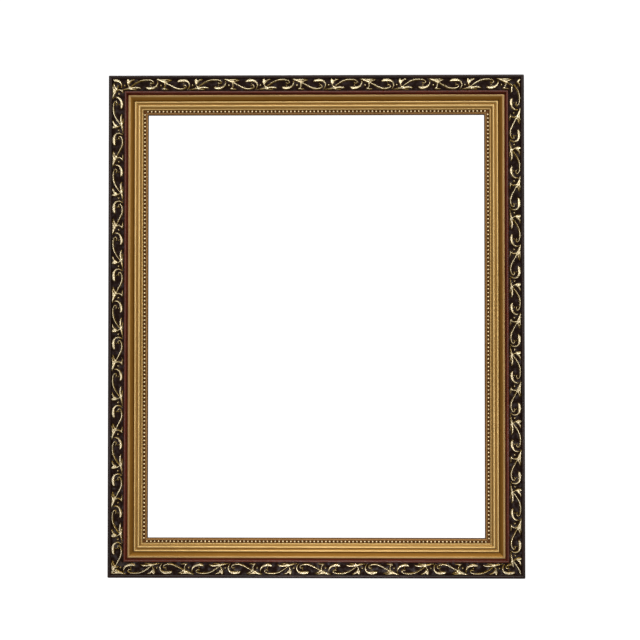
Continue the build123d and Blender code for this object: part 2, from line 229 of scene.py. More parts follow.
# %% Flakes group
flakes, entry, leave = start_group(
    "Glinting flakes",
    [("Flake size", "NodeSocketFloat", 2600.0), ("Cloud size", "NodeSocketFloat", 90.0)],
    [("Glint", "NodeSocketFloat"), ("Cloud", "NodeSocketFloat")],
)
here = flakes.nodes.new("ShaderNodeTexCoord").outputs["Object"]
cells = flakes.nodes.new("ShaderNodeTexVoronoi")
flakes.links.new(here, cells.inputs["Vector"])
flakes.links.new(entry.outputs["Flake size"], cells.inputs["Scale"])
single = flakes.nodes.new("ShaderNodeSeparateColor")
flakes.links.new(cells.outputs["Color"], single.inputs[0])
flakes.links.new(single.outputs["Red"], leave.inputs["Glint"])
flakes.links.new(add_noise(flakes, here, entry.outputs["Cloud size"], detail=3.0), leave.inputs["Cloud"])
print("made:", flakes.name)

# %% [markdown]
# ### A stippled surface
# The ground between the scrolls is punched all over with a small round tool, and thick lacquer never dries quite
# flat. Both are tiny bumps, so the group puts out a height for a Bump node.

# %% Stipple group
stipple, entry, leave = start_group(
    "Stippled surface",
    [("Dots", "NodeSocketFloat", 1500.0), ("Waves", "NodeSocketFloat", 60.0)],
    [("Dot height", "NodeSocketFloat"), ("Wave height", "NodeSocketFloat")],
)
here = stipple.nodes.new("ShaderNodeTexCoord").outputs["Object"]
punched = stipple.nodes.new("ShaderNodeTexVoronoi")
punched.feature = "SMOOTH_F1"
stipple.links.new(here, punched.inputs["Vector"])
stipple.links.new(entry.outputs["Dots"], punched.inputs["Scale"])
stipple.links.new(punched.outputs["Distance"], leave.inputs["Dot height"])
stipple.links.new(add_noise(stipple, here, entry.outputs["Waves"], detail=2.0), leave.inputs["Wave height"])
print("made:", stipple.name)


# %% A helper that starts a material
def start_finish(name, **settings):
    """A new material with its shader, ready for colours and masks."""
    finish = bpy.data.materials.new(name)
    finish.use_nodes = True
    shader = finish.node_tree.nodes["Principled BSDF"]
    values(shader, **settings)
    finish.diffuse_color = tuple(shader.inputs["Base Color"].default_value)
    return finish, finish.node_tree, shader


def place_group(tree, group, **settings):
    node = tree.nodes.new("ShaderNodeGroup")
    node.node_tree = group
    return values(node, **settings)


def add_bump(tree, shader, height, distance, strength=1.0):
    node = tree.nodes.new("ShaderNodeBump")
    values(node, Strength=strength, Distance=distance)
    tree.links.new(height, node.inputs["Height"])
    tree.links.new(node.outputs[0], shader.inputs["Normal"])
    return node


# %% [markdown]
# ## Paint and lacquer on the sticks
# The outer lip is stained nearly black and lacquered. The bead beside the scrolls is a glossy red-brown, and the
# narrow step inside it is painted dark red. All three are the same kind of finish: colour under a clear coat, with
# streaks along the stick and bare patches along the arrises. One routine mixes all of them.


# %% Lacquered finishes
def mix_lacquer(name, deep, warm, worn_colour, roughness, coat, streak_size, wear_amount):
    finish, tree, shader = start_finish(
        name, Base_Color=deep, Roughness=roughness, Specular_IOR_Level=0.12, Coat_Weight=coat, Coat_Roughness=0.12
    )
    lines = place_group(tree, streaks, Fineness=streak_size).outputs[0]
    colour = add_blend(tree, add_step(tree, lines, 0.35, 0.7), deep, warm)
    edges = place_group(tree, wear, Amount=wear_amount).outputs[0]
    tree.links.new(add_blend(tree, edges, colour, worn_colour), shader.inputs["Base Color"])
    rough = add_math(tree, "MULTIPLY_ADD", lines, 0.16, roughness - 0.06)
    tree.links.new(rough, shader.inputs["Roughness"])
    waves = place_group(tree, stipple).outputs["Wave height"]
    add_bump(tree, shader, waves, distance=0.0006, strength=0.5)
    return finish


dark_lacquer = mix_lacquer(
    "dark lacquer", deep=shade(20, 8, 5), warm=shade(42, 20, 13), worn_colour=shade(84, 50, 32),
    roughness=0.34, coat=0.32, streak_size=900.0, wear_amount=0.4,
)
bead_lacquer = mix_lacquer(
    "red-brown bead lacquer", deep=shade(70, 26, 12), warm=shade(104, 44, 22), worn_colour=shade(60, 26, 14),
    roughness=0.26, coat=0.6, streak_size=1400.0, wear_amount=0.3,
)
quirk_paint = mix_lacquer(
    "dark red paint", deep=shade(70, 20, 4), warm=shade(104, 36, 10), worn_colour=shade(100, 44, 20),
    roughness=0.5, coat=0.0, streak_size=1500.0, wear_amount=0.2,
)
print("lacquers:", [m.name for m in (dark_lacquer, bead_lacquer, quirk_paint)])

# %% [markdown]
# ## Bronze gold paint
# The inner members are coated with bronze powder in varnish. It is metallic but soft: broad highlights, darker in the
# grooves where dirt and painted shade lie, and drawn out in fine lines along the stick.


# %% Bronze paint
bronze_streak_size = 2600.0
rubbed_through = shade(84, 44, 20)


def mix_bronze(name, dirt_and_shade, deep, bright, roughness, metal):
    finish, tree, shader = start_finish(
        name, Base_Color=bright, Roughness=roughness, Metallic=metal, Specular_IOR_Level=0.2
    )
    lines = place_group(tree, streaks, Fineness=bronze_streak_size, Length=0.006).outputs[0]
    grains = place_group(tree, flakes)
    mixed = add_math(tree, "MULTIPLY", grains.outputs["Glint"], 0.2)
    mixed = add_math(tree, "ADD", mixed, add_step(tree, lines, 0.15, 0.65), clamp=True)
    colour = add_blend(tree, mixed, deep, bright)
    # The grooves are darkened towards the first colour: dirt, together with painted shade where the hollows lie in
    # shadow.
    low = tree.nodes.new("ShaderNodeAttribute")
    low.attribute_name = "dirt_and_shade"
    colour = add_blend(tree, low.outputs["Fac"], colour, dirt_and_shade)
    edges = place_group(tree, wear, Amount=0.3, Patch_size=220.0).outputs[0]
    tree.links.new(add_blend(tree, edges, colour, rubbed_through), shader.inputs["Base Color"])
    rough = add_math(tree, "MULTIPLY_ADD", grains.outputs["Cloud"], 0.16, roughness - 0.08)
    tree.links.new(rough, shader.inputs["Roughness"])
    add_bump(tree, shader, lines, distance=0.00004, strength=0.5)
    return finish


# Each paint's first colour is its groove colour, dirt mixed with painted shade.
bronze_paint = mix_bronze(
    "bronze gold paint", dirt_and_shade=shade(122, 80, 14), deep=shade(176, 138, 70), bright=shade(212, 180, 118),
    roughness=0.34, metal=0.8,
)
dull_bronze = mix_bronze(
    "dull bronze paint", dirt_and_shade=shade(88, 52, 4), deep=shade(130, 98, 48), bright=shade(172, 142, 94),
    roughness=0.42, metal=0.75,
)
amber_bronze = mix_bronze(
    "amber bronze paint", dirt_and_shade=shade(84, 48, 2), deep=shade(124, 84, 22), bright=shade(164, 120, 50),
    roughness=0.42, metal=0.75,
)
sight_paint = mix_bronze(
    "dull sight edge gold", dirt_and_shade=shade(72, 42, 10), deep=shade(108, 74, 36), bright=shade(148, 110, 64),
    roughness=0.45, metal=0.6,
)
channel_paint = mix_bronze(
    "shadowed channel gold", dirt_and_shade=shade(84, 48, 10), deep=shade(92, 56, 14), bright=shade(122, 80, 28),
    roughness=0.6, metal=0.3,
)
print("bronze paints:", [m.name for m in (bronze_paint, dull_bronze, amber_bronze, sight_paint, channel_paint)])

# %% [markdown]
# ## Bare wood
# Behind the finish the stick is plain softwood: pale, with darker lines of late growth along the grain. The back of
# the frame and the rebate are left raw, as on most bought frames.

# %% Bare wood
bare_wood, tree, shader = start_finish("bare softwood", Roughness=0.72)
broad = place_group(tree, streaks, Fineness=260.0, Length=0.03).outputs[0]
fine = place_group(tree, streaks, Fineness=1800.0, Length=0.02).outputs[0]
growth = add_blend(tree, add_step(tree, broad, 0.44, 0.6), shade(214, 180, 132), shade(178, 134, 84))
colour = add_blend(tree, add_math(tree, "MULTIPLY", fine, 0.4), growth, shade(150, 108, 66))
tree.links.new(colour, shader.inputs["Base Color"])
add_bump(tree, shader, fine, distance=0.0002, strength=0.7)
print("made:", bare_wood.name)

# %% [markdown]
# ## The moulding's section
# A frame maker draws the stick's section first: a rounded lip, the channel for the scrolls, a bead, a deep quirk, a
# fillet, a splay, two reeds with a groove between them, a slope with a thin thread, the pearl channel and the sight
# lip. Arcs are sampled finely, and every arris is eased a little, because paint never leaves a knife edge.


# %% Draw the section
def bend(start, rise, end, steps=12):
    """Points of the arc from start to end that stands rise above the middle of its chord."""
    middle = ((start[0] + end[0]) / 2, (start[1] + end[1]) / 2 + rise)
    (ax, ay), (bx, by), (cx, cy) = start, middle, end
    d = 2 * (ax * (by - cy) + bx * (cy - ay) + cx * (ay - by))
    a2, b2, c2 = ax**2 + ay**2, bx**2 + by**2, cx**2 + cy**2
    ux = (a2 * (by - cy) + b2 * (cy - ay) + c2 * (ay - by)) / d
    uy = (a2 * (cx - bx) + b2 * (ax - cx) + c2 * (bx - ax)) / d
    first = math.atan2(ay - uy, ax - ux)
    sweep = math.atan2(cy - uy, cx - ux) - first
    if rise > 0 and sweep > 0:
        sweep -= 2 * math.pi
    if rise < 0 and sweep < 0:
        sweep += 2 * math.pi
    radius = math.hypot(ax - ux, ay - uy)
    turns = [first + sweep * i / steps for i in range(steps + 1)]
    return [(ux + radius * math.cos(t), uy + radius * math.sin(t)) for t in turns]


DARK, BEAD, QUIRK, DULL, AMBER, BRONZE, CHANNEL, SIGHT, BARE = range(9)
rail_finishes = [
    dark_lacquer, bead_lacquer, quirk_paint, dull_bronze, amber_bronze, bronze_paint, channel_paint, sight_paint,
    bare_wood,
]
lip_level, channel_level, bead_level, quirk_level, fillet_level = 23.0, 21.5, 22.3, 19.0, 20.0
reed_level, thread_level, margin_level, pearl_level, sight_level, rebate_level = 16.6, 15.4, 15.1, 14.0, 13.5, 11.1
outer, lip, band, bead, quirk, fillet, splay = 0.0, 4.0, 18.3, 20.6, 22.2, 24.8, 29.0
reed, groove, wide_reed, slope, thread, margin, pearl_side, sight, rebate = (
    31.6, 33.2, 36.2, 37.7, 38.8, 39.3, 42.5, 45.0, 40.0
)
members = [
    (DARK, bend((outer, lip_level), 2.0, (lip, lip_level), 18)),
    (DARK, [(lip, channel_level), (band, channel_level), (band, bead_level)]),
    (BEAD, bend((band, bead_level), 1.15, (bead, bead_level), 14)),
    (QUIRK, [(bead, quirk_level), (quirk, quirk_level)]),
    (DULL, bend((quirk, fillet_level), 0.45, (fillet, fillet_level), 8)),
    (AMBER, bend((fillet, fillet_level), 0.25, (splay, reed_level), 8)),
    (BRONZE, bend((splay, reed_level), 1.0, (reed, reed_level))),
    (BRONZE, bend((reed, reed_level), -0.3, (groove, reed_level))),
    (BRONZE, bend((groove, reed_level), 1.2, (wide_reed, reed_level))),
    (BRONZE, [(slope, thread_level)]),
    (BRONZE, bend((slope, thread_level), 0.45, (thread, thread_level), 8)),
    (BRONZE, [(margin, margin_level)]),
    (CHANNEL, [(margin, pearl_level), (pearl_side, pearl_level)]),
    (SIGHT, bend((pearl_side, margin_level), 0.5, (sight, sight_level), 8)),
    (SIGHT, [(sight, rebate_level)]),
    (BARE, [(rebate, rebate_level), (rebate, 0.0), (outer, 0.0)]),
    (DARK, [(outer, lip_level)]),
]


def join_members(members):
    """One closed outline, and for each of its points the finish of the stretch that leads to it."""
    points, finishes = [], []
    for finish, stretch in members:
        for point in stretch:
            if points and math.dist(points[-1], point) < 1e-6:
                continue
            points.append(point)
            finishes.append(finish)
    if math.dist(points[0], points[-1]) < 1e-6:
        points.pop()
        finishes[0] = finishes.pop()
    return points, finishes


def ease_arrises(points, finishes, size=0.22, sharp=math.radians(28), largest_share=0.4):
    """Rounds every corner of the outline that turns by more than a slight angle."""
    eased, coats = [], []
    count = len(points)
    for i, point in enumerate(points):
        here, before, after = Vector(point), Vector(points[i - 1]), Vector(points[(i + 1) % count])
        arriving, leaving = here - before, after - here
        if arriving.angle(leaving) < sharp:
            eased.append(tuple(here))
            coats.append(finishes[i])
            continue
        reach = min(size, arriving.length * largest_share, leaving.length * largest_share)
        first = here - arriving.normalized() * reach
        last = here + leaving.normalized() * reach
        middle = (first + last) / 4 + here / 2
        eased += [tuple(first), tuple(middle), tuple(last)]
        coats += [finishes[i], finishes[i], finishes[(i + 1) % count]]
    return eased, coats


section, section_finishes = ease_arrises(*join_members(members))
print("points in the section:", len(section))

# %% [markdown]
# Dirt and painted shade are both put into the grooves, and the crests stay clean. How deep a place lies below its
# neighbours across the face tells how dark it is made there. The measure is worked out once from the section.

# %% Where dirt and painted shade lie
shade_reach, shade_depth, shade_step = 1.5, 0.9, 0.1
face = sorted({round(p[0], 4): p[1] for p in section if p[1] > rebate_level + 1}.items())
face_insets = np.arange(outer, sight, shade_step)
face_levels = np.interp(face_insets, [p[0] for p in face], [p[1] for p in face])
apart = face_insets[None, :] - face_insets[:, None]
near = np.exp(-((apart / shade_reach) ** 2))
above = np.clip(face_levels[None, :] - face_levels[:, None], 0, shade_depth) / shade_depth
dirt_and_shade_share = (near * above).sum(axis=1) / near.sum(axis=1)
print("most and least settled:", round(dirt_and_shade_share.max(), 2), round(dirt_and_shade_share.min(), 2))


def mark_dirt_and_shade(mesh, gain=1.8):
    """Writes how much dirt and painted shade lie at each point of a mesh that already has its stick measures."""
    places = np.empty(len(mesh.vertices) * 3)
    mesh.attributes["stick"].data.foreach_get("vector", places)
    amount = np.interp(places.reshape(-1, 3)[:, 1] / MM, face_insets, dirt_and_shade_share) * gain
    mesh.attributes.new("dirt_and_shade", "FLOAT", "POINT").data.foreach_set("value", np.clip(amount, 0, 1))


# %% [markdown]
# ## The four rails
# Each rail is that section swept along its side and cut at 45 degrees at both ends. The sweep is a grid of rings of
# points; near its ends the rings stand close together so that the outer corners can be rounded. The slots for the
# corner wedges and the pilot holes are then cut out of the back with a Boolean, as a drill and a press would do it.


# %% Sweep a rail
corner_radius = 1.8
end_steps = (0.0, 0.25, 0.5, 0.8, 1.1, 1.5, 2.0, 3.0, 30.0)


def sweep_rail(side):
    half = rail_length(side) / 2
    inset = np.array([p[0] for p in section])
    level = np.array([p[1] for p in section])
    stations = [(-1, e) for e in end_steps] + [(1, e) for e in reversed(end_steps)]
    rings = []
    for sign, step in stations:
        along = half - inset - step
        past, close = along - (half - corner_radius), corner_radius - inset
        spread = np.hypot(past, close)
        outside = (past > 0) & (close > 0) & (spread > corner_radius)
        pull = np.where(outside, corner_radius / np.maximum(spread, 1e-9), 1.0)
        round_along = np.where(outside, half - corner_radius + past * pull, along)
        round_inset = np.where(outside, corner_radius - close * pull, inset)
        rings.append(stick_to_world(side, sign * round_along, round_inset, level))
    size = len(section)
    faces = [
        (r * size + i, r * size + (i + 1) % size, (r + 1) * size + (i + 1) % size, (r + 1) * size + i)
        for r in range(len(rings) - 1)
        for i in range(size)
    ]
    coats = [section_finishes[(i + 1) % size] for _ in range(len(rings) - 1) for i in range(size)]
    faces += [tuple(reversed(range(size))), tuple(range((len(rings) - 1) * size, len(rings) * size))]
    mesh = bpy.data.meshes.new(f"{side} moulding")
    mesh.from_pydata(np.concatenate(rings).tolist(), [], faces)
    for finish in rail_finishes:
        mesh.materials.append(finish)
    mesh.polygons.foreach_set("material_index", coats + [BARE, BARE])
    return mesh


# %% Cut the slots and pilot holes
nail_leg, nail_gauge, nail_slot_depth, nail_gap = 5.0, 0.6, 10.25, 0.05
nail_insets = (11.0, 26.0)
hole_radius, hole_depth, hole_sides = 1.55, 11.0, 24
hanger_screw_place = (227.5, 100.0)
button_places = [(0, 257), (0, -257), (207, 140), (207, -140), (-207, 140), (-207, -140)]
cutter_overlap = 2.0
rail_crease = math.radians(40)


def add_prism(shape, outline, depth):
    """A closed prism from just behind the wall plane to a depth inside the wood."""
    rings = [[shape.verts.new((x * MM, y * MM, z * MM)) for x, z in outline] for y in (cutter_overlap, -depth)]
    count = len(outline)
    for i in range(count):
        j = (i + 1) % count
        shape.faces.new((rings[0][i], rings[0][j], rings[1][j], rings[1][i]))
    shape.faces.new(rings[0][::-1])
    shape.faces.new(rings[1])


def nail_outline(across, up, start):
    low, high, thick = start - nail_gap, start + nail_leg + nail_gap, start + nail_gauge + nail_gap
    insets = [(low, low), (high, low), (high, thick), (thick, thick), (thick, high), (low, high)]
    return [(across * (overall_width / 2 - u), up * (overall_height / 2 - v)) for u, v in insets]


def sockets():
    shape = bmesh.new()
    for across in (-1, 1):
        for up in (-1, 1):
            for start in nail_insets:
                add_prism(shape, nail_outline(across, up, start), nail_slot_depth)
    circle = [i * 2 * math.pi / hole_sides for i in range(hole_sides)]
    hanger = [(-hanger_screw_place[0], hanger_screw_place[1]), hanger_screw_place]
    for x, z in button_places + hanger:
        outline = [(x + hole_radius * math.cos(t), z + hole_radius * math.sin(t)) for t in circle]
        add_prism(shape, outline, hole_depth)
    bmesh.ops.recalc_face_normals(shape, faces=shape.faces)
    mesh = bpy.data.meshes.new("sockets")
    shape.to_mesh(mesh)
    shape.free()
    mesh.materials.append(bare_wood)
    cutter = bpy.data.objects.new("sockets", mesh)
    bpy.context.scene.collection.objects.link(cutter)
    return cutter


def show(name, mesh):
    piece = bpy.data.objects.new(name, mesh)
    bpy.context.scene.collection.objects.link(piece)
    return piece


def turned_out(mesh):
    """Turns every face of a closed mesh outwards."""
    shape = bmesh.new()
    shape.from_mesh(mesh)
    bmesh.ops.recalc_face_normals(shape, faces=shape.faces)
    shape.to_mesh(mesh)
    shape.free()
    return mesh


cutter = sockets()
for side in flows:
    rough_rail = show(f"rough_{side}_rail", turned_out(sweep_rail(side)))
    cut = rough_rail.modifiers.new("sockets", "BOOLEAN")
    cut.operation = "DIFFERENCE"
    cut.solver = "EXACT"
    cut.object = cutter
    graph = bpy.context.evaluated_depsgraph_get()
    mesh = bpy.data.meshes.new_from_object(rough_rail.evaluated_get(graph))
    bpy.data.objects.remove(rough_rail)
    mesh.name = f"{side} rail"
    mesh.shade_smooth()
    mesh.set_sharp_from_angle(angle=rail_crease)
    mark_stick(mesh, side)
    mark_dirt_and_shade(mesh)
    rail = show(f"{side}_moulding", mesh)
    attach(rail, "frame")
    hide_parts(f"{side}_rail")
    print(rail.name, len(mesh.polygons), "faces")
bpy.data.objects.remove(cutter)

# %% [markdown]
# ## The scroll band
# The scrolls are pressed from composition in one mould: two leaf clusters that alternate, one springing from the
# outer side of the band and one from the inner side. Each cluster has a leaf, a neck, a berry, a long S-shaped stem
# that ends in a hook, and a fat comma that curls round the hook. The strokes below are given as shares: of the
# spacing of the clusters along the flow, of the band's width across it, and the stroke's own width as a share of the
# band.

# %% The strokes of both clusters
cluster_pitch = 39.35
band_start, band_end = 4.05, 18.25
ornament_width = 13.2
ground_level, strip_floor, relief_height = 22.5, 21.5, 1.7
scroll_starts = {"top": -18.6, "right": -5.6, "bottom": -7.4, "left": 35.9}
outer_strokes = {
    "stem": [
        (0.06, 0.40, 0.10), (0.13, 0.50, 0.15), (0.21, 0.62, 0.18), (0.29, 0.75, 0.195), (0.38, 0.86, 0.20),
        (0.47, 0.905, 0.19), (0.56, 0.885, 0.17), (0.63, 0.80, 0.15), (0.655, 0.69, 0.14), (0.635, 0.60, 0.13),
        (0.59, 0.575, 0.12), (0.57, 0.63, 0.10),
    ],
    "comma": [
        (0.41, 0.24, 0.14), (0.45, 0.19, 0.25), (0.51, 0.165, 0.29), (0.59, 0.155, 0.29), (0.67, 0.21, 0.23),
        (0.728, 0.36, 0.17), (0.75, 0.60, 0.13), (0.722, 0.84, 0.09), (0.69, 0.95, 0.04),
    ],
    "wing": [
        (-0.24, 0.04, 0.05), (-0.16, 0.09, 0.16), (-0.08, 0.155, 0.27), (0.00, 0.23, 0.36), (0.07, 0.36, 0.22),
    ],
    "upper_lobe": [(-0.05, 0.125, 0.22), (0.04, 0.115, 0.20), (0.12, 0.08, 0.14), (0.17, 0.055, 0.06)],
    "lower_lobe": [(0.05, 0.31, 0.16), (0.11, 0.24, 0.17), (0.17, 0.165, 0.14), (0.22, 0.11, 0.07)],
    "neck": [(0.02, 0.36, 0.22), (0.03, 0.50, 0.18), (0.03, 0.64, 0.16), (0.015, 0.76, 0.16), (-0.005, 0.86, 0.20)],
    "toe": [(-0.035, 0.90, 0.16), (0.03, 0.92, 0.15), (0.09, 0.93, 0.11), (0.14, 0.94, 0.05)],
}
outer_dots = [(-0.09, 0.59, 0.10), (0.575, 0.44, 0.05)]
inner_strokes = {
    "stem": [
        (0.01, 0.73, 0.11), (0.06, 0.61, 0.14), (0.13, 0.46, 0.16), (0.235, 0.27, 0.175), (0.35, 0.145, 0.19),
        (0.47, 0.105, 0.185), (0.59, 0.125, 0.165), (0.665, 0.205, 0.15), (0.69, 0.315, 0.14), (0.668, 0.40, 0.13),
        (0.62, 0.425, 0.12), (0.59, 0.375, 0.10),
    ],
    "comma": [
        (0.49, 0.77, 0.14), (0.53, 0.825, 0.23), (0.60, 0.84, 0.28), (0.69, 0.79, 0.24), (0.77, 0.65, 0.18),
        (0.812, 0.43, 0.13), (0.81, 0.21, 0.06),
    ],
    "long_tail": [(0.03, 0.76, 0.16), (-0.05, 0.82, 0.15), (-0.13, 0.89, 0.12), (-0.25, 0.96, 0.05)],
    "short_tail": [(0.03, 0.82, 0.14), (-0.04, 0.89, 0.11), (-0.16, 0.97, 0.04)],
    "neck": [(0.00, 0.80, 0.16), (-0.03, 0.66, 0.14), (-0.05, 0.54, 0.16), (-0.055, 0.43, 0.24)],
    "left_tip": [
        (-0.055, 0.42, 0.26), (-0.055, 0.31, 0.33), (-0.058, 0.20, 0.33), (-0.065, 0.115, 0.24),
        (-0.08, 0.05, 0.10),
    ],
    "right_tip": [
        (-0.03, 0.36, 0.20), (0.00, 0.24, 0.19), (0.035, 0.155, 0.17), (0.08, 0.10, 0.13), (0.13, 0.07, 0.06),
    ],
    "upper_leaf": [
        (-0.01, 0.82, 0.15), (0.08, 0.79, 0.17), (0.17, 0.77, 0.18), (0.25, 0.79, 0.15), (0.31, 0.84, 0.07),
    ],
    "lower_leaf": [(0.00, 0.90, 0.14), (0.09, 0.93, 0.12), (0.19, 0.96, 0.06)],
}
inner_dots = [(-0.16, 0.58, 0.10), (0.605, 0.60, 0.06)]
print("strokes:", len(outer_strokes), "and", len(inner_strokes))

# %% [markdown]
# ### Carving the strokes
# Each stroke is a ridge with a rounded top. Its height follows its width, so the tips run down into the ground. The
# commas and leaves are hollowed along the middle, which leaves the double bright edge that catches the light on the
# real relief. The carving is worked out as one height for every point of a fine grid, which is how a mould is cut.


# %% Height of one stroke
hollow_strokes = ("comma", "wing", "upper_leaf", "left_tip", "right_tip")
hollow_depth, hollow_share = 0.42, 0.34
hollow_start, hollow_run = 0.5, 0.6
tip_height, height_gain = 0.30, 1.35
least_half_width, ridge_fullness, far_away = 0.12, 0.8, 9.0
cluster_reach = (-0.35, 1.0)
dot_rise = 1.25


def smooth_path(places, steps=5):
    """A rounded path through the places, as rows of along, across and half width in millimetres."""
    rows = np.array(places, float) * (cluster_pitch, ornament_width, ornament_width / 2)
    padded = np.vstack([2 * rows[0] - rows[1], rows, 2 * rows[-1] - rows[-2]])
    path = []
    for a, b, c, d in zip(padded, padded[1:], padded[2:], padded[3:]):
        for t in np.linspace(0, 1, steps, endpoint=False):
            path.append(
                (2 * b + (c - a) * t + (2 * a - 5 * b + 4 * c - d) * t**2 + (3 * b - a - 3 * c + d) * t**3) / 2
            )
    path.append(rows[-1])
    return np.array(path)


def ridge(along, across, places, hollow):
    """The height of one stroke over a patch of the ground."""
    path = smooth_path(places)
    best = np.full(along.shape, far_away)
    height = np.zeros(along.shape)
    for (ax, ay, aw), (bx, by, bw) in zip(path, path[1:]):
        dx, dy = bx - ax, by - ay
        share = np.clip(((along - ax) * dx + (across - ay) * dy) / (dx * dx + dy * dy + 1e-12), 0, 1)
        off_x, off_y = along - ax - share * dx, across - ay - share * dy
        half = np.maximum(aw + share * (bw - aw), least_half_width)
        place = np.hypot(off_x, off_y) / half
        crest = np.minimum(tip_height + height_gain * half, relief_height)
        shape = crest * np.clip(1 - place**2, 0, None) ** ridge_fullness
        if hollow:
            wide = np.clip(half - hollow_start, 0, hollow_run) / hollow_run
            shape *= 1 - hollow_depth * np.exp(-((place / hollow_share) ** 2)) * wide
        nearer = place < best
        best = np.where(nearer, place, best)
        height = np.where(nearer, shape, height)
    return height


def merge(first, second, softness=0.22):
    """The higher of two reliefs, with a soft joint where they meet."""
    joint = np.clip(softness - np.abs(first - second), 0, None) ** 2 / (4 * softness)
    return np.maximum(first, second) + np.where(np.minimum(first, second) > 0, joint, 0)


def carve_cluster(relief, along, across, strokes, dots):
    """Adds one cluster to the relief, with along measured from the cluster's root."""
    near = (along > cluster_reach[0] * cluster_pitch) & (along < cluster_reach[1] * cluster_pitch)
    if not near.any():
        return relief
    patch_along, patch_across, patch = along[near], across[near], relief[near]
    for name, places in strokes.items():
        patch = merge(patch, ridge(patch_along, patch_across, places, name in hollow_strokes))
    for dot_along, dot_across, radius in dots:
        size = radius * ornament_width
        away = np.hypot(patch_along - dot_along * cluster_pitch, patch_across - dot_across * ornament_width) / size
        patch = merge(patch, min(dot_rise * size, relief_height) * np.sqrt(np.clip(1 - away**2, 0, None)))
    relief[near] = patch
    return relief


print("carving ready")

# %% [markdown]
# ### Gold leaf on a dark ground
# The band is black-brown all over, and only the high parts are gilded. The gilding carries painted light: its flatter
# tops get a painted highlight in pale gold and its steep flanks a painted shade in olive brown. The ground keeps its
# punched stipple, with varnish standing glossy in pools between the scrolls. The carved height and the steepness are
# stored on the mesh, and the material reads them as masks.

# %% Gilded scroll finish
scroll_finish, tree, shader = start_finish(
    "gilded scrolls on a dark ground", Specular_IOR_Level=0.06, Coat_Roughness=0.22, Coat_Tint=(0.92, 0.86, 1.0, 1.0)
)
carved = tree.nodes.new("ShaderNodeAttribute")
carved.attribute_name = "carved"
height = carved.outputs["Fac"]
grains = place_group(tree, flakes, Flake_size=1500.0, Cloud_size=180.0)
uneven = add_math(tree, "MULTIPLY", add_math(tree, "SUBTRACT", grains.outputs["Cloud"], 0.5), 0.5)
gilded = add_step(tree, add_math(tree, "ADD", height, uneven), 0.08, 0.34)
# Painted light: steep flanks of the gilding get a painted shade in olive brown, flatter tops a painted highlight.
painted_light_slope = tree.nodes.new("ShaderNodeAttribute")
painted_light_slope.attribute_name = "steep"
crest = add_step(tree, painted_light_slope.outputs["Fac"], 0.85, 0.1)
leaf_gold_lit_and_shaded = add_blend(tree, crest, shade(110, 91, 34), shade(250, 238, 200))
leaf_gold_lit_and_shaded = add_blend(tree, add_math(tree, "MULTIPLY", grains.outputs["Glint"], 0.2), leaf_gold_lit_and_shaded, shade(186, 140, 80))
ground = add_blend(tree, grains.outputs["Cloud"], shade(9, 3, 1), shade(38, 18, 9))
tree.links.new(add_blend(tree, gilded, ground, leaf_gold_lit_and_shaded), shader.inputs["Base Color"])
tree.links.new(add_math(tree, "MULTIPLY", gilded, 0.9), shader.inputs["Metallic"])
rough = add_math(tree, "MULTIPLY_ADD", gilded, -0.26, 0.5)
tree.links.new(rough, shader.inputs["Roughness"])
dots = place_group(tree, stipple, Dots=1300.0)
flat = add_math(tree, "SUBTRACT", 1.0, gilded)
pools = add_math(tree, "MULTIPLY", flat, add_step(tree, grains.outputs["Cloud"], 0.45, 0.7))
tree.links.new(pools, shader.inputs["Coat Weight"])
punch_depth = add_math(tree, "MULTIPLY_ADD", flat, 0.8, 0.2)
punches = add_math(tree, "MULTIPLY", dots.outputs["Dot height"], punch_depth)
add_bump(tree, shader, punches, distance=0.0006, strength=0.9)
print("made:", scroll_finish.name)

# %% [markdown]
# ### Four strips of scrolls
# Every strip is one closed mesh: the carved grid on top, and plain sides and a flat back that the glue holds. Its
# ends follow the mitres, and the scrolls run on through them, as they do where a long stick is sawn to length.

# %% Build the scroll strips
grid_step = 0.36
across_steps = 38
edge_run, steepest = 0.35, 3
scroll_crease = math.radians(75)


